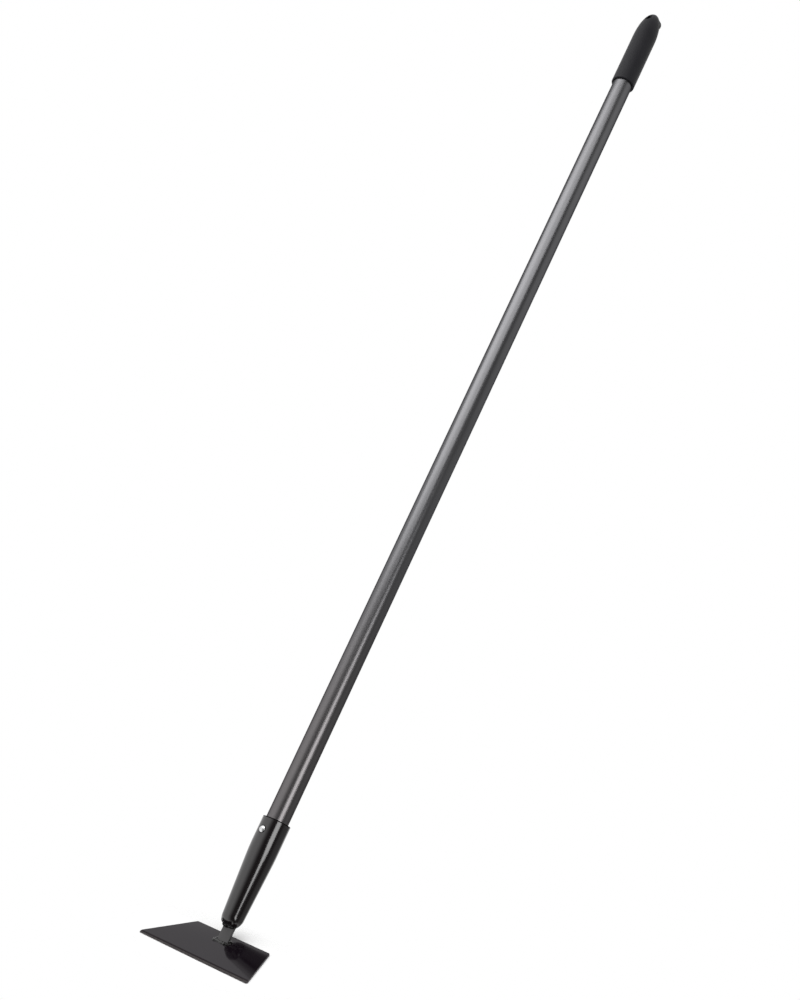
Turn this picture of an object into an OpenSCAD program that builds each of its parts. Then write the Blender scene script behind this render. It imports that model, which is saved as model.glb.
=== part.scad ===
// Dutch hoe: trapezoid push blade, welded tang, tapered socket and a steel tube handle.
// The blade lies flat on z = 0 with its cutting edge towards -Y, and the handle leans back towards +Y.
// The origin is where the handle axis meets the underside of the blade. All lengths are in millimetres.

/* [Blade] */
// Width of the cutting edge
edge_w = 188; // [150:1:240]
// Width of the back edge
back_w = 124; // [90:1:145]
// Depth of the blade from cutting edge to back edge
blade_depth = 62; // [50:1:80]
// Thickness of the blade plate
blade_t = 2; // [1.5:0.1:4]
// Distance of the back edge behind the handle axis
back_reach = 20.5; // [18:0.5:26]
// Width of the bevel ground along the cutting edge
bevel_w = 4; // [2:0.5:8]
// Thickness left at the cutting edge
edge_t = 0.4; // [0.2:0.1:0.8]
// Radius of the two front corners
front_corner_r = 2; // [1:0.5:6]
// Radius of the two back corners
back_corner_r = 3; // [1:0.5:10]

/* [Handle] */
// Angle between the handle and the blade, in degrees
handle_angle = 53; // [45:1:70]
// Outer diameter of the handle tube
tube_d = 28; // [24:0.5:34]
// Wall of the handle tube
tube_wall = 1.2; // [0.8:0.1:2]
// Length of the whole tool along the handle, from the origin to the tip of the grip
tool_len = 1421.5; // [1050:0.5:1750]

/* [Tang] */
// Width of the tang
tang_w = 17.5; // [12:0.5:20]
// Thickness of the tang
tang_t = 3.2; // [2.8:0.2:5]
// Distance of the tang's middle behind the handle axis
tang_set = 3; // [2:0.1:4]
// Length of the tang inside the socket
tang_grip = 26; // [22:1:40]

/* [Socket] */
// Distance from the origin to the lower end of the socket, along the handle
socket_start = 22; // [18:0.5:30]
// Length of the socket
socket_len = 127.5; // [110:0.5:160]
// Wall at the mouth
mouth_wall = 3.2; // [2.5:0.1:4]
// Wall of the tapered part
taper_wall = 2.6; // [2:0.1:3.2]
// Length of the straight part below the mouth
straight_len = 30; // [20:1:40]
// Length of the soft bend between the straight part and the taper
bend_len = 20; // [10:1:40]
// Depth to which the tube is pushed in
insert_len = 38; // [25:1:60]
// Steel around the corners of the tang where the taper ends
neck_wall = 3.9; // [2.5:0.1:4.5]
// Distance of the taper's lower end behind the handle axis
neck_set = 1.5; // [0:0.1:3]
// Height of the dome that closes the lower end round the tang
dome_h = 11.5; // [9:0.5:16]
// Radial gap between tube and socket
tube_gap = 0.2; // [0.1:0.05:0.4]

/* [Rivet] */
// Diameter of the rivet shank
rivet_d = 4; // [3.2:0.2:5]
// Diameter of the rivet head
rivet_head_d = 8; // [7:0.2:10]
// Height of the rivet head
rivet_head_h = 1.9; // [1.4:0.1:2.5]
// Distance of the rivet below the mouth of the socket
rivet_drop = 15.7; // [10:0.1:20]

/* [Grip] */
// Length of the grip
grip_len = 134; // [115:1:160]
// Wall of the grip around the tube
grip_wall = 2.7; // [2:0.1:4]
// Length of the tapered nose
nose_len = 48; // [40:1:55]
// Length of the solid end above the tube
solid_len = 34; // [32:1:39]
// Diameter of the hang hole
hang_d = 9; // [6:0.5:10]
// Distance of the hang hole below the tip, on the handle axis
hang_drop = 11; // [10:0.5:13]
// Rise of the hang hole from the front to the back, in degrees
hang_tilt = 14; // [8:1:16]
// Radius of the pommel lip at the back of the nose
lip_r = 7.4; // [6:0.2:8]
// Distance of the pommel lip behind the handle axis
lip_set = 10.8; // [9:0.2:11]
// Radius of the finger hollow under the pommel lip
hollow_r = 6; // [4:0.5:8]
// Depth of the finger hollow
hollow_depth = 7; // [5:0.5:8]
// Slope of the long side of the finger hollow, in degrees
hollow_slope = 16; // [10:1:25]
// Radial gap between grip and tube
grip_gap = 0.1; // [0.05:0.05:0.3]

/* [Hidden] */
$fn = 64;
// Overrun of cuts past the faces they cut
cut = 1;
// Gap between the tang and the slot that grips it
tang_gap = 0.05;
// Step from the straight mouth in to the taper, and how far the taper runs up into the mouth
collar_step = 0.1;
collar_lap = 1;
// Thickness of the closed floor of the socket
floor_t = 6;
// Width of the ledge that the tube stands on
ledge_w = 0.8;
// Radius of the rounded rims of socket and grip
rim_r = 0.8;
// Radius and pitch of the weld ripples: at the tang's foot, beside and behind it on the dome, in front of it
foot_bead_r = 2.6;
foot_bead_pitch = 2.4;
side_bead_r = 0.9;
side_bead_pitch = 1.2;
front_bead_r = 2;
front_bead_pitch = 2;
// How much the ripples differ in size, and the turn that spreads the difference along the bead
ripple_share = 0.08;
ripple_turn = 137;
// How far the middle of a bead lies outside the tang, as a share of its radius
bead_out_share = 0.2;
// Steps in the curves of turned profiles, each of which runs through a quarter of a turn
curve_steps = 10;
quarter_turn = 90;
// Gap between the rivet and its holes, and under its head
rivet_gap = 0.1;
// Metal of the rivet body around its pin, and the gap between them
rivet_shell = 0.85;
pin_gap = 0.05;
// Size of the blind bulge of the rivet inside the tube
bulge_d = 5.8;
bulge_h = 3;
// Height of the pin's head, and depth of its broken end below the crown of the rivet
pin_head_h = 1.8;
pin_recess = 0.2;
// Fullness of the nose: 2 is a plain ellipse
nose_power = 2.15;
// Distance of the deepest line of the finger hollow below the pommel lip's middle
hollow_drop = 16.5;
// Distance of the pommel lip's middle below the tip
lip_drop = 7.5;

tube_r = tube_d / 2;
mouth_r = tube_r + tube_gap + mouth_wall;
grip_r = tube_r + grip_gap + grip_wall;
hang_r = hang_d / 2;
front_y = back_reach - blade_depth;
tang_front = tang_set - tang_t / 2;
tang_back = tang_set + tang_t / 2;
tang_end = socket_start + tang_grip;
socket_end = socket_start + socket_len;
taper_end = socket_end - straight_len;
taper_start = socket_start + dome_h;
taper_len = taper_end - taper_start;
neck_r = norm([tang_w / 2, tang_back - neck_set]) + neck_wall;
taper_slope = (mouth_r - collar_step - neck_r) / (taper_len - bend_len / 2);
lean = asin(neck_set / taper_len);
floor_z = taper_start + floor_t;
grip_end = tool_len;
grip_start = grip_end - grip_len;
nose_start = grip_end - nose_len;
tube_start = socket_end - insert_len;
tube_end = grip_end - solid_len;
tube_len = tube_end - tube_start;
rivet_z = socket_end - rivet_drop;
rivet_inner = tube_r - tube_wall - rivet_gap;
rivet_seat = mouth_r + rivet_gap;
pin_d = rivet_d - 2 * rivet_shell;

// Turns the handle's own frame, with the handle along +Z, into the working pose
module along_handle() {
  rotate([handle_angle - quarter_turn, 0, 0]) children();
}

// Leans the socket's taper back a little about the middle of its upper end
module leaned() {
  translate([0, 0, taper_end]) rotate([lean, 0, 0]) translate([0, 0, -taper_end]) children();
}

// Everything above the blade's top face
module above_blade() {
  translate([-edge_w, -edge_w, blade_t]) cube(2 * edge_w);
}

// Unit vector from point a to point b
function direction(a, b) = (b - a) / norm(b - a);

// Centre of a circle of radius r that touches both sides of the corner b
function corner_centre(a, b, c, r) =
  let (u = direction(b, a), v = direction(b, c), half = acos(u * v) / 2)
  b + direction([0, 0], u + v) * r / sin(half);

// Points where that circle touches the sides
function corner_touch(a, b, c, r) =
  let (u = direction(b, a), v = direction(b, c), reach = r / tan(acos(u * v) / 2))
  [b + u * reach, b + v * reach];

// Flat outline with rounded corners, one radius per point
module rounded_outline(points, radii) {
  n = len(points);
  polygon([for (i = [0 : n - 1])
    each corner_touch(points[(i + n - 1) % n], points[i], points[(i + 1) % n], radii[i])]);
  for (i = [0 : n - 1])
    translate(corner_centre(points[(i + n - 1) % n], points[i], points[(i + 1) % n], radii[i]))
      circle(r = radii[i]);
}

// Draws a side view, given as distance behind the axis and height, and stretches it across the handle
module across(width) {
  rotate([90, 0, 90]) linear_extrude(width, center = true) children();
}

module blade() {
  corners = [
    [-edge_w / 2, front_y],
    [edge_w / 2, front_y],
    [back_w / 2, back_reach],
    [-back_w / 2, back_reach]
  ];
  radii = [front_corner_r, front_corner_r, back_corner_r, back_corner_r];
  rise = cut * (blade_t - edge_t) / bevel_w;
  color([0.16, 0.16, 0.17]) difference() {
    linear_extrude(blade_t) rounded_outline(corners, radii);
    across(2 * edge_w) translate([front_y, 0])
      polygon([[-cut, edge_t - rise], [bevel_w + cut, blade_t + rise], [-cut, blade_t + rise]]);
  }
}

// The tang's bar between two heights, grown by a gap for the slot that it fills
module tang_bar(gap, from, to) {
  translate([-tang_w / 2 - gap, tang_front - gap, from])
    cube([tang_w + 2 * gap, tang_t + 2 * gap, to - from]);
}

module tang() {
  color([0.16, 0.16, 0.17]) intersection() {
    along_handle() tang_bar(0, -socket_start, tang_end);
    above_blade();
  }
}

// Distance behind the origin where a line along the handle, at offset y, meets the blade's top
function foot_y(y) = (blade_t * cos(handle_angle) + y) / sin(handle_angle);

// A row of overlapping weld ripples, one at each point, each a little larger or smaller than the last
module bead(points, r) {
  for (i = [0 : len(points) - 1])
    translate(points[i]) sphere(r = r * (1 + ripple_share * sin(i * ripple_turn)));
}

// Points along the lines between corners, at about a pitch apart, up to but without the last corner
function along(corners, pitch) =
  [for (i = [0 : len(corners) - 2])
    let (from = corners[i], to = corners[i + 1], count = ceil(norm(to - from) / pitch))
    for (k = [0 : count - 1]) from + (to - from) * k / count];

module tang_weld() {
  out = foot_bead_r * bead_out_share;
  x = tang_w / 2 + out;
  low_y = foot_y(tang_front) - out;
  high_y = foot_y(tang_back) + out;
  z = blade_t - out;
  corners = [[-x, low_y, z], [x, low_y, z], [x, high_y, z], [-x, high_y, z], [-x, low_y, z]];
  color([0.2, 0.2, 0.21]) difference() {
    intersection() {
      bead(along(corners, foot_bead_pitch), foot_bead_r);
      above_blade();
    }
    along_handle() tang_bar(0, -socket_start, tang_end);
  }
}

// A point on the dome over a point of the plane across the handle
function on_dome(p) =
  [p.x, p.y, taper_start - dome_h * sqrt(1 - (p.x ^ 2 + (p.y - neck_set) ^ 2) / neck_r ^ 2)];

// A thin bead beside and behind the tang, and a full one in front of it, laid on the dome of the socket
module socket_weld() {
  x = tang_w / 2 + side_bead_r * bead_out_share;
  back_y = tang_back + side_bead_r * bead_out_share;
  low_y = tang_front - front_bead_r * bead_out_share;
  round_back = along([[-x, tang_front], [-x, back_y], [x, back_y], [x, tang_front]], side_bead_pitch);
  in_front = along([[-tang_w / 2, low_y], [tang_w / 2, low_y]], front_bead_pitch);
  color([0.12, 0.12, 0.13]) along_handle() difference() {
    union() {
      bead([for (p = round_back) on_dome(p)], side_bead_r);
      bead([for (p = concat(in_front, [[tang_w / 2, low_y]])) on_dome(p)], front_bead_r);
    }
    tang_bar(0, -socket_start, tang_end);
    socket_solid();
  }
}

// Loss of the socket's radius at a depth below the straight part: a soft bend, then a straight taper
function taper_drop(depth) =
  taper_slope * (depth < bend_len ? depth * depth / (2 * bend_len) : depth - bend_len / 2);

// Outline of the turned taper from its lap inside the mouth down to a height, thinner by the given wall
function taper_outline(wall, from) =
  let (depths = concat([for (i = [0 : curve_steps]) bend_len * i / curve_steps], [taper_end - from]))
  let (top_r = mouth_r - collar_step - wall)
  concat([[0, taper_end + collar_lap], [top_r, taper_end + collar_lap]],
    [for (d = depths) [top_r - taper_drop(d), taper_end - d]]);

// Straight mouth of the socket, with a rounded rim
module mouth_solid() {
  rotate_extrude() polygon(concat(
    [[0, taper_end], [mouth_r, taper_end]],
    [for (i = [0 : curve_steps]) let (t = quarter_turn * i / curve_steps)
      [mouth_r - rim_r * (1 - cos(t)), socket_end - rim_r * (1 - sin(t))]],
    [[0, socket_end]]));
}

// Outline of the dome, from the end of the taper down to the axis
function dome_outline() =
  [for (i = [1 : 2 * curve_steps]) let (t = quarter_turn * i / (2 * curve_steps))
    [neck_r * cos(t), taper_start - dome_h * sin(t)]];

// Socket before it is hollowed: the mouth, and a leaned taper that closes in a dome round the tang
module socket_solid() {
  mouth_solid();
  leaned() rotate_extrude() polygon(concat(taper_outline(0, taper_start), dome_outline()));
}

// A drilling through the front wall for the rivet
module rivet_drill() {
  translate([0, 0, rivet_z]) rotate([90, 0, 0]) cylinder(h = 2 * mouth_r, d = rivet_d + 2 * rivet_gap);
}

module socket() {
  color([0.1, 0.1, 0.11]) along_handle() difference() {
    socket_solid();
    translate([0, 0, tube_start]) cylinder(h = insert_len + cut, r = tube_r + tube_gap);
    intersection() {
      leaned() rotate_extrude() polygon(concat(taper_outline(taper_wall, floor_z), [[0, floor_z]]));
      translate([0, 0, socket_start]) cylinder(h = tube_start - socket_start + cut, r = tube_r - ledge_w);
    }
    tang_bar(tang_gap, socket_start - cut, tang_end + cut);
    rivet_drill();
  }
}

// Places a shape that is drawn from the handle axis outward along +Z on the rivet's axis
module on_rivet() {
  along_handle() translate([0, 0, rivet_z]) rotate([90, 0, 0]) children();
}

// A round bar along the handle at the rivet, for shaping what lies against tube and socket
module handle_round(r) {
  rotate([90, 0, 0]) cylinder(h = 2 * rivet_head_d, r = r, center = true);
}

module rivet_body() {
  crown_r = ((rivet_head_d / 2) ^ 2 + rivet_head_h ^ 2) / (2 * rivet_head_h);
  color([0.85, 0.86, 0.88]) on_rivet() difference() {
    union() {
      translate([0, 0, rivet_inner - bulge_h]) cylinder(h = rivet_seat - rivet_inner + bulge_h, d = rivet_d);
      intersection() {
        translate([0, 0, rivet_inner - bulge_h]) cylinder(h = bulge_h, d1 = rivet_d, d2 = bulge_d);
        handle_round(rivet_inner);
      }
      difference() {
        intersection() {
          translate([0, 0, rivet_seat + rivet_head_h - crown_r]) sphere(r = crown_r);
          cylinder(h = rivet_seat + rivet_head_h + cut, d = rivet_head_d);
        }
        handle_round(rivet_seat);
      }
    }
    translate([0, 0, rivet_inner - bulge_h - cut]) cylinder(h = 2 * mouth_r, d = pin_d + 2 * pin_gap);
  }
}

module rivet_mandrel() {
  foot = rivet_inner - bulge_h;
  color([0.6, 0.61, 0.63]) on_rivet() {
    translate([0, 0, foot - pin_head_h]) cylinder(h = pin_head_h, d = rivet_d);
    translate([0, 0, foot - pin_head_h])
      cylinder(h = pin_head_h + rivet_seat + rivet_head_h - pin_recess - foot, d = pin_d);
  }
}

module handle_tube() {
  color([0.36, 0.36, 0.37]) along_handle() difference() {
    translate([0, 0, tube_start]) cylinder(h = tube_len, r = tube_r);
    translate([0, 0, tube_start - cut]) cylinder(h = tube_len + 2 * cut, r = tube_r - tube_wall);
    rivet_drill();
  }
}

// Turned outline of the grip, with a rounded rim and a nose that runs out in a full curve
module grip_solid() {
  rotate_extrude() polygon(concat(
    [[0, grip_start]],
    [for (i = [0 : curve_steps]) let (t = quarter_turn * i / curve_steps)
      [grip_r - rim_r * (1 - sin(t)), grip_start + rim_r * (1 - cos(t))]],
    [for (i = [0 : 2 * curve_steps]) let (t = quarter_turn * i / (2 * curve_steps))
      [grip_r * pow(cos(t), 2 / nose_power), nose_start + nose_len * pow(sin(t), 2 / nose_power)]]));
}

// Finger hollow under the pommel lip: a round end, and a long slope that runs out at the grip's side
module finger_hollow() {
  middle = [grip_r - hollow_depth + hollow_r, grip_end - lip_drop - hollow_drop];
  touch = middle - hollow_r * [cos(hollow_slope), sin(hollow_slope)];
  run = (grip_r + cut - touch.x) / tan(hollow_slope);
  across(4 * grip_r) {
    translate(middle) circle(r = hollow_r);
    polygon([touch, [grip_r + cut, touch.y - run], [grip_r + cut, middle.y], middle]);
  }
}

// Pommel lip: a round-ended bar that reaches back out of the nose, just under its tip
module pommel_lip() {
  translate([0, 0, grip_end - lip_drop]) rotate([-quarter_turn, 0, 0]) rotate_extrude()
    polygon(concat(
      [[0, 0], [lip_r, 0]],
      [for (i = [0 : curve_steps]) let (t = quarter_turn * i / curve_steps)
        [lip_r * cos(t), lip_set + lip_r * sin(t)]]));
}

module hand_grip() {
  color([0.13, 0.13, 0.14]) along_handle() difference() {
    union() {
      grip_solid();
      pommel_lip();
    }
    translate([0, 0, grip_start - cut]) cylinder(h = grip_len - solid_len + cut, r = tube_r + grip_gap);
    finger_hollow();
    translate([0, 0, grip_end - hang_drop]) rotate([90 + hang_tilt, 0, 0])
      cylinder(h = 4 * grip_r, r = hang_r, center = true);
  }
}

blade();
tang();
tang_weld();
socket();
socket_weld();
rivet_body();
rivet_mandrel();
handle_tube();
hand_grip();
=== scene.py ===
import bmesh
import bpy
import math
from mathutils import Matrix, Vector


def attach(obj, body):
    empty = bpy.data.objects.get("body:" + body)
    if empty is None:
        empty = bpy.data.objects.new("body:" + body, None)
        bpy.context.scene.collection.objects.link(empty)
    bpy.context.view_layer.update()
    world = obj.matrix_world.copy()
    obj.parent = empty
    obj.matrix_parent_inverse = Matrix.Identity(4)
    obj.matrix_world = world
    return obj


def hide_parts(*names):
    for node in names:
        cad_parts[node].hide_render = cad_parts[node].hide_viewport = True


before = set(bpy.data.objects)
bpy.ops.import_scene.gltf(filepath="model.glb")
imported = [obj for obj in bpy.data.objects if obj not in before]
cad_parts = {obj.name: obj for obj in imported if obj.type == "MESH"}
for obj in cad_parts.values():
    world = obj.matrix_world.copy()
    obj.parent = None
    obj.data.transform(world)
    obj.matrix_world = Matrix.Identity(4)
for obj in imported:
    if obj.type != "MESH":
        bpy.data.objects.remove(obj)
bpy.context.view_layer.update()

# Sizes of the tool in millimetres, as the frame has them, but for two: the rivet's seat has
# a thinner gap under the head, and the tube's top ends lower so that the grip's wall stays
# whole under the finger hollow
EDGE_W, BACK_W = 188.0, 124.0
FRONT_Y, BACK_Y = -41.5, 20.5
PLATE_T, EDGE_T, GRIND_W = 2.0, 0.4, 4.0
FRONT_CORNER_R, BACK_CORNER_R = 2.0, 3.0
HANDLE_ANGLE = 53.0
TUBE_R, TUBE_WALL = 14.0, 1.2
TUBE_FOOT, TUBE_TOP = 111.5, 1379.5
TANG_W, TANG_FRONT, TANG_BACK, TANG_TOP = 17.5, 1.4, 4.6, 48.0
SOCKET_FOOT, SOCKET_MOUTH, SOCKET_R = 22.0, 149.5, 17.4
DOME_H, TAPER_TOP, BEND = 11.5, 119.5, 20.0
NECK_R, NECK_SET = 13.18, 1.5
BORE_R = 14.2
RIVET_S, RIVET_SEAT, RIVET_R, RIVET_H = 133.8, 17.45, 4.0, 1.9
SHANK_R, PIN_R, PIN_GAP = 2.0, 1.2, 0.05
GRIP_FOOT, GRIP_TIP, GRIP_R, GRIP_BORE_R = 1287.5, 1421.5, 16.8, 14.1
NOSE_LEN, NOSE_POWER = 48.0, 2.15
LIP_R, LIP_SET, LIP_S = 7.4, 10.8, 1414.0
HOLLOW_R, HOLLOW_Y, HOLLOW_S, HOLLOW_SLOPE = 6.0, 15.8, 1397.5, 16.0
HANG_R, HANG_S, HANG_TILT = 4.5, 1410.5, 14.0

TAPER_FOOT = SOCKET_FOOT + DOME_H
NOSE_FOOT = GRIP_TIP - NOSE_LEN

# Softened edges, in millimetres, which the frame leaves out
BLADE_BREAK, TANG_ROUND, TUBE_BREAK = 0.18, 0.5, 0.3
MOUTH_RIM, MOUTH_INNER, MOUTH_INNER_MID = 0.45, 0.35, 0.1
GRIP_RIM, GRIP_INNER, GRIP_BLEND = 1.2, 0.4, 0.4

# Points round each ring, and rings along each stretch
BEAD_POINTS, SOCKET_POINTS, TUBE_POINTS, GRIP_POINTS = 20, 144, 144, 160
RIVET_POINTS, PIN_POINTS, HANG_POINTS = 72, 48, 72
RIM_RINGS, DOME_RINGS, TAPER_RINGS, CROWN_RINGS, TUBE_RINGS = 6, 36, 47, 13, 52
SLEEVE_RINGS, NOSE_RINGS, TIP_RINGS = 15, 32, 76

MM = 0.001
METRE = 1000.0
TINY = 1e-6
handle_lean = Matrix.Rotation(math.radians(HANDLE_ANGLE - 90), 4, "X")


# Meshes

def onto_handle(x, back, along):
    """A point given across, behind and along the handle, in the frame's metres."""
    return handle_lean @ Vector((x, back, along)) * MM


def on_plate(x, y, z):
    """A point given on the blade's own axes, in the frame's metres."""
    return Vector((x, y, z)) * MM


def on_rivet(x, along, out):
    """A point given across and along the handle from the rivet's middle, and out from the handle's axis."""
    return onto_handle(x, -out, RIVET_S + along)


def soft_min(values, blend):
    low = min(values)
    return low - blend * math.log(sum(math.exp((low - v) / blend) for v in values))


def soft_max(values, blend):
    return -soft_min([-v for v in values], blend)


def ease(value, low, high):
    """A soft step from 0 at low to 1 at high."""
    share = min(max((value - low) / (high - low), 0.0), 1.0)
    return share * share * (3 - 2 * share)


def spread(first, last, steps):
    """Evenly spaced values, both ends among them."""
    return [first + (last - first) * k / steps for k in range(steps + 1)]


def quarter(steps):
    """Angles from 0 to a right angle."""
    return spread(0.0, math.pi / 2, steps)


def turns(points, shift=0.0):
    """Angles of points round a full turn, moved on by a share of one step."""
    return [2 * math.pi * (i + shift) / points for i in range(points)]


def round_ring(radius, height, place, points):
    """A round ring of points; place maps them onto the tool."""
    return [place(radius * math.sin(t), radius * math.cos(t), height) for t in turns(points)]


def skin(rings, closed=False, foot=None, tip=None):
    """Quads between rings of points; foot and tip are single points that close the ends."""
    mesh = bmesh.new()
    rows = [[mesh.verts.new(p) for p in ring] for ring in rings]
    pairs = list(zip(rows, rows[1:])) + ([(rows[-1], rows[0])] if closed else [])
    for low, high in pairs:
        for i in range(len(low)):
            j = (i + 1) % len(low)
            mesh.faces.new((low[i], low[j], high[j], high[i]))
    for point, row, up in ((foot, rows[0], False), (tip, rows[-1], True)):
        if point is not None:
            middle = mesh.verts.new(point)
            for i in range(len(row)):
                j = (i + 1) % len(row)
                mesh.faces.new((row[i], row[j], middle) if up else (row[j], row[i], middle))
    bmesh.ops.recalc_face_normals(mesh, faces=mesh.faces)
    if mesh.calc_volume(signed=True) < 0:
        bmesh.ops.reverse_faces(mesh, faces=mesh.faces)
    return mesh


def turned(outline, place, points, closed=True):
    """An outline of (radius, height) pairs turned about an axis."""
    return skin([round_ring(radius, height, place, points) for radius, height in outline], closed=closed)


def piece(name, mesh, node, finish, sharp=35.0):
    """A piece of the tool in its finish; edges over the angle sharp show as edges."""
    data = bpy.data.meshes.new(name)
    mesh.to_mesh(data)
    mesh.free()
    data.shade_smooth()
    data.set_sharp_from_angle(angle=math.radians(sharp))
    data.materials.append(finish)
    thing = bpy.data.objects.new(name, data)
    bpy.context.scene.collection.objects.link(thing)
    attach(thing, "root")
    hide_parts(node)
    return thing


def cut_flat(mesh, point, normal):
    """Takes off what lies beyond a plane and closes the cut."""
    parts = list(mesh.verts) + list(mesh.edges) + list(mesh.faces)
    cut = bmesh.ops.bisect_plane(mesh, geom=parts, plane_co=point, plane_no=normal, clear_outer=True)
    rim = [e for e in cut["geom_cut"] if isinstance(e, bmesh.types.BMEdge)]
    bmesh.ops.contextual_create(mesh, geom=rim)


def round_edges(mesh, edges, width, steps):
    """Rounds edges, as a file or a coat of paint does."""
    bmesh.ops.bevel(mesh, geom=edges, offset=width * MM, offset_type="OFFSET", segments=steps,
                    profile=0.5, affect="EDGES", clamp_overlap=True)


def corner_arc(before, corner, after, radius, steps):
    """Points of a rounded corner."""
    u = (before - corner).normalized()
    v = (after - corner).normalized()
    half = math.acos(u.dot(v)) / 2
    centre = corner + (u + v).normalized() * radius / math.sin(half)
    first = corner + u * radius / math.tan(half) - centre
    last = corner + v * radius / math.tan(half) - centre
    sweep = first.angle(last)
    points = []
    for t in spread(0.0, 1.0, steps):
        arm = first * math.sin((1 - t) * sweep) + last * math.sin(t * sweep)
        points.append(centre + arm / math.sin(sweep))
    return points


def rounded_outline(corners, radii, steps):
    """Points round an outline whose corners are rounded, each by its own radius."""
    spots = [Vector(c) for c in corners]
    points = []
    for i, radius in enumerate(radii):
        points += corner_arc(spots[i - 1], spots[i], spots[(i + 1) % len(spots)], radius, steps)
    return points


def blade_mesh():
    """A trapezoid plate with rounded corners, ground to a thin front edge, its edges broken."""
    least_angle = math.radians(15)
    corners = ((-EDGE_W / 2, FRONT_Y), (EDGE_W / 2, FRONT_Y), (BACK_W / 2, BACK_Y), (-BACK_W / 2, BACK_Y))
    radii = (FRONT_CORNER_R, FRONT_CORNER_R, BACK_CORNER_R, BACK_CORNER_R)
    outline = rounded_outline(corners, radii, steps=8)
    mesh = bmesh.new()
    floor = mesh.faces.new([mesh.verts.new(on_plate(p.x, p.y, 0)) for p in outline])
    walls = bmesh.ops.extrude_face_region(mesh, geom=[floor])
    for v in walls["geom"]:
        if isinstance(v, bmesh.types.BMVert):
            v.co.z = PLATE_T * MM
    bmesh.ops.recalc_face_normals(mesh, faces=mesh.faces)
    cut_flat(mesh, on_plate(0, FRONT_Y, EDGE_T), Vector((0, EDGE_T - PLATE_T, GRIND_W)))
    edges = [e for e in mesh.edges if e.is_manifold and e.calc_face_angle() > least_angle]
    round_edges(mesh, edges, BLADE_BREAK, steps=2)
    return mesh


def tang_mesh():
    """A flat bar along the handle that stands on the blade, its long edges rounded."""
    nearly_along = 0.99
    mesh = bmesh.new()
    bmesh.ops.create_cube(mesh, size=1.0)
    for v in mesh.verts:
        back = TANG_FRONT if v.co.y < 0 else TANG_BACK
        v.co = onto_handle(TANG_W * v.co.x, back, TANG_TOP if v.co.z > 0 else -SOCKET_FOOT)
    cut_flat(mesh, on_plate(0, 0, PLATE_T), Vector((0, 0, -1)))
    bmesh.ops.recalc_face_normals(mesh, faces=mesh.faces)
    along = handle_lean @ Vector((0, 0, 1))
    edges = []
    for e in mesh.edges:
        run = (e.verts[0].co - e.verts[1].co).normalized()
        if abs(run.dot(along)) > nearly_along:
            edges.append(e)
    round_edges(mesh, edges, TANG_ROUND, steps=3)
    return mesh


def round_path(low, high, radius, pitch):
    """Points and outward directions round a rectangle with rounded corners."""
    (left, front), (right, back) = low, high
    corners = ((left, front), (right, front), (right, back), (left, back))
    stops = rounded_outline(corners, [radius] * len(corners), steps=6)
    path = []
    for a, b in zip(stops, stops[1:] + stops[:1]):
        count = max(1, round((b - a).length / pitch))
        path += [a.lerp(b, k / count) for k in range(count)]
    outward = []
    for i in range(len(path)):
        run = (path[(i + 1) % len(path)] - path[i - 1]).normalized()
        outward.append(Vector((run.y, -run.x)))
    return path, outward


def weld_mesh(low, high, level, radius, ripple, lumps, place, keep=lambda z: z):
    """A weld run: a lumpy bead laid round the tang in overlapping ripples that trail like scales.

    ripple is the length of one ripple in millimetres, and lumps is a share of the bead's radius.
    """
    corner_r, steps_in_ripple, ripple_share = 1.0, 9, 0.11
    trail, uneven, uneven_rate = 0.35, 0.25, 0.9
    long_lump, long_start, short_lump, short_share = 0.43, 1.3, 1.1, 0.8
    path, outward = round_path(low, high, corner_r, ripple / steps_in_ripple)
    rings, run = [], 0.0
    for i, (p, out) in enumerate(zip(path, outward)):
        run += (p - path[i - 1]).length if i else 0.0
        swell = math.sin(run * long_lump + long_start) + short_share * math.sin(run * short_lump)
        scale = 1 + lumps * swell
        ring = []
        for turn in turns(BEAD_POINTS):
            phase = run / ripple + trail * math.cos(turn) ** 2 + uneven * math.sin(run * uneven_rate)
            r = radius(p) * (scale - ripple_share * (phase % 1.0) ** 2)
            x, y = p + out * (r * math.cos(turn))
            ring.append(place(x, y, keep(level(p) + r * math.sin(turn))))
        rings.append(ring)
    return skin(rings, closed=True)


def tang_weld_mesh():
    """The bead round the tang's foot, on top of the blade, heavier at both ends."""
    bead, right_more, left_more = 2.2, 0.5, 0.4
    right_from, left_from, end = 4.0, 6.0, 9.0
    sunk, ripple, lumps = 0.45, 2.1, 0.09
    left_out, right_out, front_out, back_out = 2.0, 1.8, 1.7, 0.8

    def foot(back):
        angle = math.radians(HANDLE_ANGLE)
        return (PLATE_T * math.cos(angle) + back) / math.sin(angle)

    def radius(p):
        return bead + right_more * ease(p.x, right_from, end) + left_more * ease(-p.x, left_from, end)

    low = (-TANG_W / 2 - left_out, foot(TANG_FRONT) - front_out)
    high = (TANG_W / 2 + right_out, foot(TANG_BACK) + back_out)
    return weld_mesh(low, high, lambda p: PLATE_T - sunk, radius, ripple, lumps,
                     on_plate, lambda z: max(z, PLATE_T))


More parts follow.
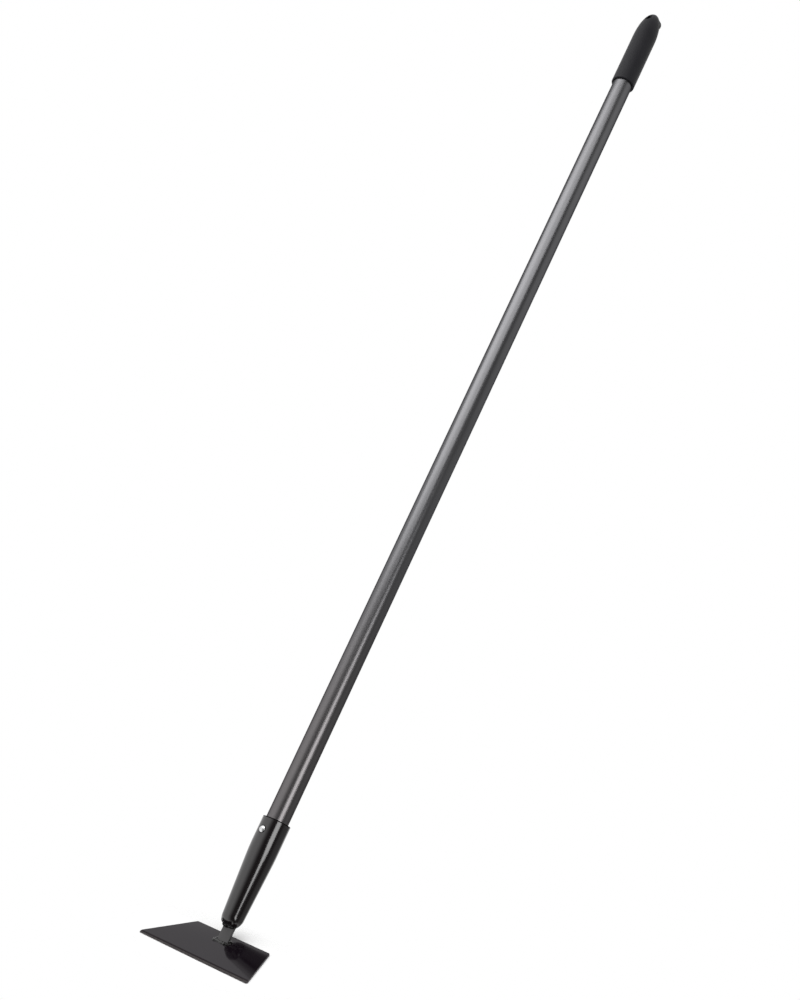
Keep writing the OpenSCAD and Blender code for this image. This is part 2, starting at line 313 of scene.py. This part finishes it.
def socket_weld_mesh():
    """The bead on the dome: full in front of the tang, most so to the left, thin beside and behind it."""
    bead, left_more, end_less, back_bead = 1.6, 1.1, 0.9, 0.85
    left_from, left_full, end_from, end_full = -2.0, 3.0, 5.0, 8.9
    back_from, back_full = 1.0, 2.6
    side_out, front_out, back_out = 0.15, 0.4, 0.15
    ripple, lumps = 1.6, 0.14

    def radius(p):
        front = bead + left_more * ease(-p.x, left_from, left_full)
        front -= end_less * ease(-p.x, end_from, end_full)
        return front + (back_bead - front) * ease(p.y, back_from, back_full)

    def dome(p):
        power = dome_fullness(math.atan2(p.x, p.y - NECK_SET))
        share = math.hypot(p.x, p.y - NECK_SET) / NECK_R
        return TAPER_FOOT - DOME_H * (1 - share ** power) ** (1 / power)

    low = (-TANG_W / 2 - side_out, TANG_FRONT - front_out)
    high = (TANG_W / 2 + side_out, TANG_BACK + back_out)
    return weld_mesh(low, high, dome, radius, ripple, lumps, onto_handle)


def socket_set_back(s):
    """How far the socket's middle lies behind the handle's axis; below the mouth it leans back."""
    return NECK_SET * max(TAPER_TOP - s, 0.0) / (TAPER_TOP - TAPER_FOOT)


def socket_ring(s, radius):
    """One ring of the socket; radius gives the distance from its middle at each angle."""
    ring = []
    for turn in turns(SOCKET_POINTS):
        reach = radius(turn)
        ring.append(onto_handle(reach * math.sin(turn), socket_set_back(s) + reach * math.cos(turn), s))
    return ring


def dome_fullness(turn):
    """How square the dome's outline is: round at the back, fuller in front, fullest at the tang's edges."""
    round_power, front_more, edge_more, edge_turn = 2.0, 0.3, 1.5, 95
    from_back = math.acos(math.cos(turn))
    in_front = ease(-math.cos(turn), -0.3, 0.5)
    at_edge = ease(math.cos(from_back - math.radians(edge_turn)), 0.8, 0.99)
    return round_power + front_more * in_front + edge_more * at_edge


def dome_radius(share, turn):
    """Radius of the dome at a share of its height, 0 at its base and 1 at its end."""
    power = dome_fullness(turn)
    return NECK_R * (1 - share ** power) ** (1 / power)


def taper_radius(s):
    """Radius of the socket above its dome: a straight mouth, a soft bend, then a straight taper."""
    slope = (SOCKET_R - NECK_R) / (TAPER_TOP - TAPER_FOOT - BEND / 2)
    depth = max(TAPER_TOP - s, 0.0)
    return SOCKET_R - slope * (depth ** 2 / (2 * BEND) if depth < BEND else depth - BEND / 2)


def socket_mesh():
    """Dome, taper, straight mouth with a rounded rim, and the bore down to the foot of the tube."""
    rim_room = 2.0
    rings = []
    for t in quarter(DOME_RINGS)[1:-1]:
        share = math.cos(t)
        rings.append(socket_ring(TAPER_FOOT - DOME_H * share, lambda turn: dome_radius(share, turn)))
    for s in spread(TAPER_FOOT, SOCKET_MOUTH - rim_room, TAPER_RINGS):
        rings.append(socket_ring(s, lambda turn: taper_radius(s)))
    for t in quarter(RIM_RINGS):
        s = SOCKET_MOUTH - MOUTH_RIM * (1 - math.sin(t))
        rings.append(socket_ring(s, lambda turn: SOCKET_R - MOUTH_RIM * (1 - math.cos(t))))
    bore = ((BORE_R + MOUTH_INNER, SOCKET_MOUTH),
            (BORE_R + MOUTH_INNER_MID, SOCKET_MOUTH - MOUTH_INNER_MID),
            (BORE_R, SOCKET_MOUTH - MOUTH_INNER),
            (BORE_R, TUBE_FOOT))
    rings += [round_ring(radius, s, onto_handle, SOCKET_POINTS) for radius, s in bore]
    foot = onto_handle(0, socket_set_back(SOCKET_FOOT), SOCKET_FOOT)
    return skin(rings, foot=foot, tip=onto_handle(0, 0, TUBE_FOOT))


def rivet_head_mesh():
    """Domed head with a small rolled edge, its underside lying on the round of the socket."""
    crown = (RIVET_R ** 2 + RIVET_H ** 2) / (2 * RIVET_H)
    shank_foot = RIVET_SEAT - 2.0
    pin_edge, pin_edge_drop, pin_bore_drop, pin_rim = PIN_R + 0.08, 0.05, 0.16, PIN_R + 0.22
    roll, roll_edge, roll_drop, rim_drop = RIVET_R - 0.25, RIVET_R - 0.08, 0.16, 0.36

    def dome(radius):
        return RIVET_SEAT + RIVET_H - crown + math.sqrt(crown ** 2 - radius ** 2)

    def on_socket(radius):
        ring = []
        for t in turns(RIVET_POINTS):
            x = radius * math.sin(t)
            ring.append(on_rivet(x, radius * math.cos(t), math.sqrt(RIVET_SEAT ** 2 - x ** 2)))
        return ring

    bore = PIN_R + PIN_GAP
    outline = [(bore, shank_foot), (bore, dome(bore) - pin_bore_drop),
               (pin_edge, dome(pin_edge) - pin_edge_drop)]
    outline += [(radius, dome(radius)) for radius in spread(pin_rim, roll, CROWN_RINGS)]
    outline += [(roll_edge, dome(roll) - roll_drop), (RIVET_R, dome(roll) - rim_drop)]
    rings = [round_ring(radius, height, on_rivet, RIVET_POINTS) for radius, height in outline]
    rings += [on_socket(RIVET_R), on_socket(SHANK_R)]
    rings += [round_ring(SHANK_R, shank_foot, on_rivet, RIVET_POINTS)]
    return skin(rings, closed=True)


def rivet_pin_mesh():
    """The pin's broken end: a drawn bar with a dull raised nib."""
    sunk, length = 0.12, 6.0
    edge_drop, shoulder_in, shoulder_drop = 0.2, 0.12, 0.08
    nib_foot_in, nib_foot_drop, nib_in = 0.4, 0.06, 0.7
    top = RIVET_SEAT + RIVET_H - sunk
    outline = [(PIN_R, RIVET_SEAT - length), (PIN_R, top - edge_drop),
               (PIN_R - shoulder_in, top - shoulder_drop),
               (PIN_R - nib_foot_in, top - nib_foot_drop), (PIN_R - nib_in, top)]
    mesh = turned(outline, on_rivet, PIN_POINTS, closed=False)
    points = list(mesh.verts)
    bmesh.ops.contextual_create(mesh, geom=points[:PIN_POINTS])
    bmesh.ops.contextual_create(mesh, geom=points[-PIN_POINTS:])
    bmesh.ops.recalc_face_normals(mesh, faces=mesh.faces)
    return mesh


def tube_mesh():
    """A hollow tube with its outer edges broken."""
    inner = TUBE_R - TUBE_WALL
    levels = [TUBE_FOOT + TUBE_BREAK, *spread(TUBE_FOOT, TUBE_TOP, TUBE_RINGS)[1:-1], TUBE_TOP - TUBE_BREAK]
    outline = [(TUBE_R, s) for s in levels]
    outline += [(TUBE_R - TUBE_BREAK, TUBE_TOP), (inner, TUBE_TOP),
                (inner, TUBE_FOOT), (TUBE_R - TUBE_BREAK, TUBE_FOOT)]
    return turned(outline, onto_handle, TUBE_POINTS)


def nose_radius(s):
    """Radius of the grip's turned form."""
    share = (s - NOSE_FOOT) / NOSE_LEN
    if share <= 0:
        return GRIP_R
    return GRIP_R * max(1 - min(share, 1.0) ** NOSE_POWER, 0.0) ** (1 / NOSE_POWER)


def hollow_depth(s):
    """How far behind the axis the finger hollow lets the grip reach; above the hollow it sets no limit."""
    slope = math.radians(HOLLOW_SLOPE)
    touch_y = HOLLOW_Y - HOLLOW_R * math.cos(slope)
    touch_s = HOLLOW_S - HOLLOW_R * math.sin(slope)
    if s <= touch_s:
        return touch_y + (touch_s - s) * math.tan(slope)
    if s < HOLLOW_S + HOLLOW_R:
        return HOLLOW_Y - math.sqrt(HOLLOW_R ** 2 - (s - HOLLOW_S) ** 2)
    return math.inf


def lip_reach(across, behind, s):
    """Distance from the axis to the skin of the pommel lip, a round-ended bar out of the nose's back."""
    half = LIP_R ** 2 - (s - LIP_S) ** 2
    if half <= 0 or behind <= 0:
        return 0.0
    side = math.sqrt(half) / max(abs(across), TINY)
    if side * behind <= LIP_SET:
        return side
    return LIP_SET * behind + math.sqrt(max(half - (LIP_SET * across) ** 2, 0.0))


def grip_reach(turn, s):
    """Distance from the axis to the grip's skin: the turned nose, the pommel lip and the finger hollow."""
    blend_room = 6.0
    across, behind = math.sin(turn), math.cos(turn)
    reach = nose_radius(s)
    lip = lip_reach(across, behind, s)
    if lip > 0:
        reach = soft_max([reach, lip], GRIP_BLEND)
    if behind > TINY:
        depth = hollow_depth(s) / behind
        if depth < reach + blend_room:
            reach = soft_min([reach, depth], GRIP_BLEND)
    return reach


def grip_mesh():
    """The sleeve's bore and rounded foot, its straight part, then the shaped nose."""
    def shaped_ring(s):
        ring = []
        for turn in turns(GRIP_POINTS):
            reach = grip_reach(turn, s)
            ring.append(onto_handle(reach * math.sin(turn), reach * math.cos(turn), s))
        return ring

    outline = [(GRIP_BORE_R, TUBE_TOP), (GRIP_BORE_R, GRIP_FOOT + GRIP_INNER),
               (GRIP_BORE_R + GRIP_INNER, GRIP_FOOT)]
    for t in quarter(RIM_RINGS):
        outline.append((GRIP_R - GRIP_RIM * (1 - math.sin(t)), GRIP_FOOT + GRIP_RIM * (1 - math.cos(t))))
    levels = spread(GRIP_FOOT + GRIP_RIM, NOSE_FOOT, SLEEVE_RINGS)[1:-1]
    levels += spread(NOSE_FOOT, HOLLOW_S, NOSE_RINGS)[:-1]
    levels += [HOLLOW_S + (GRIP_TIP - HOLLOW_S) * math.sin(t) for t in quarter(TIP_RINGS)[:-1]]
    rings = [round_ring(radius, s, onto_handle, GRIP_POINTS) for radius, s in outline]
    rings += [shaped_ring(s) for s in levels]
    return skin(rings, foot=onto_handle(0, 0, TUBE_TOP), tip=onto_handle(0, 0, GRIP_TIP))


def in_hang_hole(x, up, along):
    """A point given across, above and along the rising axis of the hang hole, in the handle's own frame."""
    tilt = math.radians(HANG_TILT)
    back = along * math.cos(tilt) - up * math.sin(tilt)
    return x, back, HANG_S + along * math.sin(tilt) + up * math.cos(tilt)


def skin_distance(x, up, side):
    """How far along the hang hole's axis the grip's skin lies, towards the front (-1) or the back (1)."""
    farthest, halvings = 30.0, 40
    low, high = 0.0, farthest
    for _ in range(halvings):
        guess = (low + high) / 2
        across, back, s = in_hang_hole(x, up, side * guess)
        if math.hypot(across, back) < grip_reach(math.atan2(across, back), s):
            low = guess
        else:
            high = guess
    return low


def hang_hole_mesh():
    """The core that leaves the hang hole: straight inside, rounded where it meets the skin.

    Each pair of the rounding says how much wider than the hole and how far out of the skin it lies.
    """
    rounding = ((1.6, 0.6), (0.95, 0.08), (0.6, -0.1), (0.28, -0.35), (0.08, -0.75), (0.0, -1.3))
    front_softness, back_softness = 1.5, 0.5
    front_end, back_end = -30.0, 35.0

    def row(side, softness, grow, out):
        radius = HANG_R + grow * softness
        points = []
        for turn in turns(HANG_POINTS, shift=0.5):
            x, up = radius * math.sin(turn), radius * math.cos(turn)
            depth = skin_distance(x, up, side) + out * softness
            points.append(onto_handle(*in_hang_hole(x, up, side * depth)))
        return points

    rings = [row(-1, front_softness, grow, out) for grow, out in rounding]
    rings += [row(1, back_softness, grow, out) for grow, out in reversed(rounding)]
    return skin(rings, foot=onto_handle(*in_hang_hole(0, 0, front_end)),
                tip=onto_handle(*in_hang_hole(0, 0, back_end)))


def drill(thing, core, sharp):
    """Takes the core's space out of a piece for good."""
    data = bpy.data.meshes.new("core")
    core.to_mesh(data)
    core.free()
    cutter = bpy.data.objects.new("core", data)
    bpy.context.scene.collection.objects.link(cutter)
    step = thing.modifiers.new("hang_hole", "BOOLEAN")
    step.operation = "DIFFERENCE"
    step.solver = "EXACT"
    step.object = cutter
    deps = bpy.context.evaluated_depsgraph_get()
    made = bpy.data.meshes.new_from_object(thing.evaluated_get(deps))
    thing.modifiers.clear()
    bpy.data.objects.remove(cutter)
    thing.data = made
    made.shade_smooth()
    made.set_sharp_from_angle(angle=math.radians(sharp))


# Finishes

class Wire:
    """A socket of a finish. Sums, products and powers of wires add Math nodes."""

    def __init__(self, bench, socket):
        self.bench = bench
        self.socket = socket

    def __add__(self, other):
        return self.bench.maths("ADD", self, other)

    def __radd__(self, other):
        return self.bench.maths("ADD", other, self)

    def __sub__(self, other):
        return self.bench.maths("SUBTRACT", self, other)

    def __rsub__(self, other):
        return self.bench.maths("SUBTRACT", other, self)

    def __mul__(self, other):
        return self.bench.maths("MULTIPLY", self, other)

    def __rmul__(self, other):
        return self.bench.maths("MULTIPLY", other, self)

    def __pow__(self, other):
        return self.bench.maths("POWER", self, other)

    def __rpow__(self, other):
        return self.bench.maths("POWER", other, self)


class Bench:
    """The node tree of one finish."""

    def __init__(self, tree):
        self.tree = tree
        tree.nodes.clear()

    def node(self, kind, settings=None, sockets=None, out=0):
        """Adds a node: its settings first, then the values or links of its sockets."""
        made = self.tree.nodes.new(kind)
        for name, value in (settings or {}).items():
            setattr(made, name, value)
        for name, value in (sockets or {}).items():
            if isinstance(value, Wire):
                self.tree.links.new(value.socket, made.inputs[name])
            elif isinstance(value, tuple) and made.inputs[name].type == "RGBA":
                made.inputs[name].default_value = (*value, 1.0)
            else:
                made.inputs[name].default_value = value
        return Wire(self, made.outputs[out]) if made.outputs else made

    def maths(self, operation, first, second=0.0):
        return self.node("ShaderNodeMath", {"operation": operation}, {0: first, 1: second})

    def place(self):
        """Where a point of the surface lies in the frame, in metres."""
        return self.node("ShaderNodeTexCoord", out="Object")

    def along_handle(self):
        """The same, turned so that Z runs along the handle and -Y is its front."""
        return self.node("ShaderNodeVectorRotate", {"rotation_type": "X_AXIS"},
                         {"Vector": self.place(), "Angle": math.radians(90 - HANDLE_ANGLE)})

    def part(self, vector, axis):
        return self.node("ShaderNodeSeparateXYZ", sockets={"Vector": vector}, out=axis)

    def vector_maths(self, operation, first, second=(0.0, 0.0, 0.0), out="Vector"):
        """Vector Math; out is Vector, or Value where the result is a number."""
        return self.node("ShaderNodeVectorMath", {"operation": operation}, {0: first, 1: second}, out)

    def stretch(self, vector, factors):
        return self.vector_maths("MULTIPLY", vector, factors)

    def dot(self, vector, direction):
        return self.vector_maths("DOT_PRODUCT", vector, direction, out="Value")

    def noise(self, vector, grain_mm, detail=2.0):
        return self.node("ShaderNodeTexNoise", sockets={
            "Vector": vector, "Scale": METRE / grain_mm, "Detail": detail})

    def specks(self, vector, grain_mm):
        """Distance from the middle of scattered cells, 0 at each middle."""
        return self.node("ShaderNodeTexVoronoi", sockets={"Vector": vector, "Scale": METRE / grain_mm})

    def step(self, value, low, high):
        """A soft step from 0 at low to 1 at high."""
        return self.node("ShaderNodeMapRange", {"interpolation_type": "SMOOTHSTEP"},
                         {"Value": value, "From Min": low, "From Max": high})

    def mix(self, share, first, second):
        """Mixes two colours; the node's own names repeat, so its colour sockets go by number."""
        return self.node("ShaderNodeMix", {"data_type": "RGBA"}, {0: share, 6: first, 7: second}, out=2)

    def bump(self, height, depth_mm):
        return self.node("ShaderNodeBump", sockets={
            "Height": height, "Distance": depth_mm * MM, "Strength": 1.0})


def new_finish(name):
    material = bpy.data.materials.new(name)
    material.use_nodes = True
    return material, Bench(material.node_tree)


def coat(bench, **sockets):
    """The surface shader itself."""
    names = {key.replace("_", " ").title().replace("Ior", "IOR"): value for key, value in sockets.items()}
    shader = bench.node("ShaderNodeBsdfPrincipled", sockets=names)
    bench.node("ShaderNodeOutputMaterial", sockets={"Surface": shader})


def satin_black_paint():
    """Baked satin black on the blade, rubbed on the ground face, with painted shade: a black, unreflecting
    line where the grind ends.

    The paint's bump bows and twists the plate a little, which only its mirror images show.
    """
    worn_blur, line_slant, peel_h = 0.3, 5.0, 0.004 * MM
    line_from, line_full, line_fades, line_to = (GRIND_W + out for out in (-2.1, -1.2, -0.5, 0.8))
    lean, bow, twist, edge_twist = 0.062, 0.55, 0.2, 1.05e-9
    material, bench = new_finish("satin_black_paint")
    place = bench.place()
    x, y = bench.part(place, "X"), bench.part(place, "Y")
    from_edge = y * METRE - FRONT_Y
    cloud = bench.noise(place, 30, 3)
    peel = bench.noise(place, 1.6, 1)
    rub = bench.noise(bench.stretch(place, (1.0, 0.3, 0.3)), 0.5, 3)
    dust = bench.step(bench.specks(place, 9.0), 0.035, 0.02)
    worn = bench.step(from_edge, GRIND_W + worn_blur, GRIND_W - worn_blur) * bench.step(rub, 0.2, 0.9)
    slant = from_edge - x * line_slant
    # Painted shade: a black line that reflects nothing, along the top of the grind
    line = bench.step(slant, line_from, line_full) * bench.step(slant, line_to, line_fades)
    dull = line * (0.6 + 0.36 * cloud)
    colour = bench.mix(cloud, (0.0052, 0.0034, 0.0054), (0.0072, 0.005, 0.0074))
    colour = bench.mix(worn * 0.7, colour, (0.11, 0.098, 0.088))
    colour = bench.mix(dust * 0.35, colour, (0.12, 0.118, 0.115))
    # The painted shade line: near-black colour, and metallic below, so that it reflects nothing
    colour = bench.mix(dull, colour, (0.004, 0.0034, 0.004))
    rough = 0.06 + 0.05 * cloud + 0.2 * worn + 0.2 * dust + 0.1 * dull
    height = y * lean + y * y * bow + x * (from_edge ** 4 * edge_twist - y * twist) + peel * peel_h
    coat(bench, base_color=colour, metallic=dull, roughness=rough, specular_ior_level=0.2,
         specular_tint=(1.0, 0.9, 1.0), normal=bench.bump(height, METRE))
    return material


def tang_paint():
    """The same black on the tang, thin and rubbed dull over the drawn bar."""
    material, bench = new_finish("tang_paint")
    place = bench.along_handle()
    drawn = bench.noise(bench.stretch(place, (1.0, 1.0, 0.08)), 0.9, 3)
    cloud = bench.noise(place, 7, 3)
    colour = bench.mix(cloud, (0.039, 0.037, 0.038), (0.056, 0.0538, 0.0548))
    colour = bench.mix(bench.step(drawn, 0.55, 0.8) * 0.5, colour, (0.075, 0.073, 0.072))
    coat(bench, base_color=colour, roughness=0.24 + 0.1 * drawn + 0.06 * cloud, specular_ior_level=0.5,
         normal=bench.bump(drawn, 0.02))
    return material


def weld_paint():
    """The same black on both welds, darker and unreflecting in patches, with painted shade making it
    darkest on the right of the tang's bead and on the bead under the socket.
    """
    right, right_full, high, high_full = 2 * MM, 7 * MM, 8 * MM, 12 * MM
    material, bench = new_finish("weld_paint")
    place = bench.place()
    # Painted shade: the right side of the tang's bead and the whole bead up under the socket
    painted_shade_zone = bench.maths("MAXIMUM", bench.step(bench.part(place, "X"), right, right_full),
                        bench.step(bench.part(place, "Z"), high, high_full))
    # Patchy darkening everywhere, strongest where the painted shade falls
    soot_and_painted_shade = bench.step(bench.noise(place, 1.5, 2), 0.58, 0.47) * (0.3 + 0.68 * painted_shade_zone)
    scale = bench.noise(place, 1.1, 3)
    pits = bench.noise(place, 0.5, 2)
    colour = bench.mix(scale, (0.004, 0.004, 0.004), (0.012, 0.0115, 0.011))
    # Near-black and metallic where the patches and the painted shade lie, so that they reflect nothing
    colour = bench.mix(soot_and_painted_shade, colour, (0.004, 0.0035, 0.0035))
    coat(bench, base_color=colour, metallic=soot_and_painted_shade, roughness=0.1 + 0.12 * scale, specular_ior_level=0.6,
         normal=bench.bump(scale + 0.3 * pits, 0.2))
    return material


def from_rivet(bench, handle):
    """Distance from the rivet's axis in millimetres; handle is a place along the handle."""
    x = bench.part(handle, "X") * METRE
    s = bench.part(handle, "Z") * METRE - RIVET_S
    return (x * x + s * s) ** 0.5


def gloss_black_paint():
    """Dipped gloss black on the socket, with a faint peel and dust, and painted shade: a black,
    unreflecting line at the mouth's rim and a black ring round the rivet's head on the front.
    """
    mouth_from, mouth_full = SOCKET_MOUTH - 1.5, SOCKET_MOUTH - 0.9
    ring_from, ring_full = RIVET_R + 1.1, RIVET_R + 0.5
    front_from, front_full = -4 * MM, -6 * MM
    material, bench = new_finish("gloss_black_paint")
    place = bench.place()
    handle = bench.along_handle()
    s = bench.part(handle, "Z") * METRE
    # Painted shade: a black, unreflecting line at the top of the mouth's rim
    mouth_painted_shade = bench.step(s, mouth_from, mouth_full)
    # Painted shadow: a black ring round the rivet's head
    rivet_painted_shadow = bench.step(from_rivet(bench, handle), ring_from, ring_full)
    # The rivet's painted shadow shows only on the front of the socket
    dull = mouth_painted_shade + bench.step(bench.part(handle, "Y"), front_from, front_full) * rivet_painted_shadow
    cloud = bench.noise(place, 18, 3)
    peel = bench.noise(place, 2.2, 1)
    dust = bench.step(bench.specks(place, 6.0), 0.03, 0.015)
    colour = bench.mix(cloud, (0.0046, 0.003, 0.0035), (0.0074, 0.0055, 0.0061))
    colour = bench.mix(dust * 0.3, colour, (0.1, 0.1, 0.1))
    # dull carries the painted shade at the mouth and the painted shadow round the rivet: near-black and
    # metallic, so they reflect nothing
    colour = bench.mix(dull, colour, (0.004, 0.0035, 0.0038))
    coat(bench, base_color=colour, metallic=dull, roughness=0.12 + 0.05 * cloud + 0.2 * dust + 0.3 * dull,
         specular_ior_level=1.0, normal=bench.bump(peel, 0.008))
    return material


def gunmetal_paint():
    """Metallic grey on the tube: fine flakes in a satin coat, drawn out along it and warmer at its foot."""
    warm_top, warm_foot = 550 * MM, 200 * MM
    material, bench = new_finish("gunmetal_paint")
    place = bench.along_handle()
    flake = bench.noise(place, 0.55, 2)
    drawn = bench.noise(bench.stretch(place, (1.0, 1.0, 0.06)), 2.4, 3)
    cloud = bench.noise(place, 60, 2)
    tone = 0.55 * flake + 0.25 * drawn + 0.2 * cloud
    warm = bench.step(bench.part(place, "Z"), warm_top, warm_foot)
    dull = bench.mix(warm, (0.124, 0.1235, 0.1285), (0.13, 0.1232, 0.1255))
    bright = bench.mix(warm, (0.202, 0.201, 0.2085), (0.211, 0.2, 0.2035))
    coat(bench, base_color=bench.mix(tone, dull, bright), metallic=0.86 + 0.1 * flake,
         roughness=0.25 + 0.08 * tone, specular_tint=(0.12, 0.12, 0.125), normal=bench.bump(flake, 0.006))
    return material


def grip_plastic():
    """Black moulded plastic with the fine grain of a spark-eroded mould, rubbed smoother at the lip."""
    rub_foot, rub_full = 1395 * MM, 1420 * MM
    material, bench = new_finish("grip_plastic")
    place = bench.along_handle()
    grain = bench.noise(place, 0.7, 2)
    cloud = bench.noise(place, 16, 3)
    rubbed = bench.step(bench.part(place, "Z"), rub_foot, rub_full)
    colour = bench.mix(cloud, (0.0128, 0.0126, 0.0148), (0.0188, 0.0185, 0.0212))
    coat(bench, base_color=colour, roughness=0.4 + 0.1 * grain - 0.05 * rubbed, specular_ior_level=0.12,
         normal=bench.bump(grain, 0.05))
    return material


def rivet_aluminium():
    """Bright headed aluminium with faint rings from the setting tool."""
    ring_rate, wander = 17, 3
    material, bench = new_finish("rivet_aluminium")
    place = bench.along_handle()
    rings = bench.maths("SINE", from_rivet(bench, place) * ring_rate + bench.noise(place, 1.5) * wander)
    scuff = bench.noise(place, 0.8, 3)
    colour = bench.mix(scuff, (0.72, 0.724, 0.73), (0.84, 0.843, 0.848))
    coat(bench, base_color=colour, metallic=1.0, roughness=0.2 + 0.1 * scuff + 0.02 * rings,
         normal=bench.bump(rings * 0.3 + scuff, 0.015))
    return material


def pin_steel():
    """Drawn steel, dull where the pin broke off."""
    material, bench = new_finish("pin_steel")
    place = bench.along_handle()
    tear = bench.noise(place, 0.35, 3)
    colour = bench.mix(tear, (0.6, 0.6, 0.61), (0.78, 0.78, 0.79))
    coat(bench, base_color=colour, metallic=1.0, roughness=0.34 + 0.16 * tear,
         normal=bench.bump(tear, 0.05))
    return material


def pale_floor():
    """Pale floor close under the blade that runs out into the white backdrop."""
    to_middle, narrower = (0.0, 12 * MM, 0.0), (1.0, 2.5, 1.0)
    fade_start, fade_end = 70 * MM, 170 * MM
    material, bench = new_finish("pale_floor")
    place = bench.place()
    around = bench.vector_maths("ADD", place, to_middle)
    away = bench.vector_maths("LENGTH", bench.stretch(around, narrower), out="Value")
    colour = bench.mix(bench.noise(place, 40, 2), (0.955, 0.955, 0.955), (0.975, 0.975, 0.975))
    ground = bench.node("ShaderNodeBsdfDiffuse", sockets={"Color": colour})
    clear = bench.node("ShaderNodeBsdfTransparent")
    fade = bench.step(away, fade_start, fade_end)
    shade = bench.node("ShaderNodeMixShader", sockets={0: fade, 1: ground, 2: clear})
    bench.node("ShaderNodeOutputMaterial", sockets={"Surface": shade})
    return material


# The tool

weld = weld_paint()
weld_sharp, grip_sharp = 70.0, 50.0

piece("blade_plate", blade_mesh(), "blade", satin_black_paint(), sharp=12.0)
piece("tang_bar", tang_mesh(), "tang", tang_paint())
piece("tang_weld_run", tang_weld_mesh(), "tang_weld", weld, sharp=weld_sharp)
piece("socket_shell", socket_mesh(), "socket", gloss_black_paint(), sharp=60.0)
piece("socket_weld_run", socket_weld_mesh(), "socket_weld", weld, sharp=weld_sharp)
piece("rivet_head", rivet_head_mesh(), "rivet_body", rivet_aluminium(), sharp=50.0)
piece("rivet_pin", rivet_pin_mesh(), "rivet_mandrel", pin_steel())
piece("tube_skin", tube_mesh(), "handle_tube", gunmetal_paint())
grip = piece("grip_skin", grip_mesh(), "hand_grip", grip_plastic(), sharp=grip_sharp)
drill(grip, hang_hole_mesh(), grip_sharp)


# Studio: places in metres, angles in degrees, lens and sensor in millimetres

FLOOR_R, FLOOR_DROP = 0.5, 0.0004
LENS, SENSOR_H = 50.3356, 36.0
CAMERA_PLACE = (1.159256, -0.965819, 0.711245)
CAMERA_TILT, CAMERA_TURN = 82.192, 42.435


def floor_disc():
    mesh = bmesh.new()
    bmesh.ops.create_circle(mesh, cap_ends=True, segments=96, radius=FLOOR_R)
    data = bpy.data.meshes.new("floor")
    mesh.to_mesh(data)
    mesh.free()
    data.materials.append(pale_floor())
    floor = bpy.data.objects.new("floor", data)
    floor.location = (0.0, 0.0, -FLOOR_DROP)
    bpy.context.scene.collection.objects.link(floor)


def soft_box(name, centre, towards, width, height, radiance):
    """An even rectangle of light that looks equally bright whatever its size."""
    lamp = bpy.data.lights.new(name, "AREA")
    lamp.shape = "RECTANGLE"
    lamp.size = width
    lamp.size_y = height
    lamp.energy = math.pi * radiance * width * height
    thing = bpy.data.objects.new(name, lamp)
    thing.location = centre
    thing.rotation_euler = (Vector(towards) - Vector(centre)).to_track_quat("-Z", "Y").to_euler()
    bpy.context.scene.collection.objects.link(thing)


def studio_world():
    """White round the tool; the side where the camera and its dark room stand is dark in reflections.

    The dark is where two half rooms overlap, one with a hard end and one with a soft end, and it is
    paler on one side, most so above a slope.
    """
    hard_side, soft_side, pale_side = 82.5, 115, 150
    pale_slope = (-0.513, 0.5, 1.0)
    darkest, pale_share, upper_share, fill = 0.96, 0.2, 0.58, 0.56
    world = bpy.data.worlds.new("studio")
    bpy.context.scene.world = world
    world.use_nodes = True
    bench = Bench(world.node_tree)
    seen = bench.node("ShaderNodeLightPath", out="Is Camera Ray")
    mirrored = bench.node("ShaderNodeLightPath", out="Is Glossy Ray")
    through = bench.node("ShaderNodeLightPath", out="Is Transmission Ray")
    direction = bench.node("ShaderNodeTexCoord", out="Generated")
    level = bench.vector_maths("NORMALIZE", bench.stretch(direction, (1.0, 1.0, 0.0)))

    def facing(turn):
        turn = math.radians(turn)
        return bench.dot(level, (math.sin(turn), -math.cos(turn), 0.0))

    pale = bench.step(facing(pale_side), 0.62, 0.9)
    upper = bench.step(bench.dot(direction, pale_slope), -0.12, 0.25)
    room = bench.step(facing(hard_side), -0.25, -0.05) * bench.step(facing(soft_side), -0.78, 0.2)
    dark = room * (darkest - pale * (pale_share + upper_share * upper))
    white = bench.maths("MAXIMUM", seen, through)
    strength = white + (1 - white) * (mirrored * (1 - dark) + (1 - mirrored) * fill)
    back = bench.node("ShaderNodeBackground", sockets={"Color": (1.0, 1.0, 1.0), "Strength": strength})
    bench.node("ShaderNodeOutputWorld", sockets={"Surface": back})


def camera():
    data = bpy.data.cameras.new("camera")
    data.sensor_fit = "VERTICAL"
    data.sensor_height = SENSOR_H
    data.lens = LENS
    thing = bpy.data.objects.new("camera", data)
    thing.location = CAMERA_PLACE
    thing.rotation_euler = (math.radians(CAMERA_TILT), 0.0, math.radians(CAMERA_TURN))
    bpy.context.scene.collection.objects.link(thing)
    bpy.context.scene.camera = thing


floor_disc()
soft_box("overhead_box", centre=(-0.06, -0.15, 2.2), towards=(-0.06, -0.15, 0.0),
         width=2.86, height=1.5, radiance=2.1)
soft_box("right_box", centre=(1.6, -0.35, 0.7), towards=(0.0, 0.1, 0.15),
         width=0.8, height=0.95, radiance=3.9)
studio_world()
camera()
bpy.context.scene.view_settings.view_transform = "Standard"
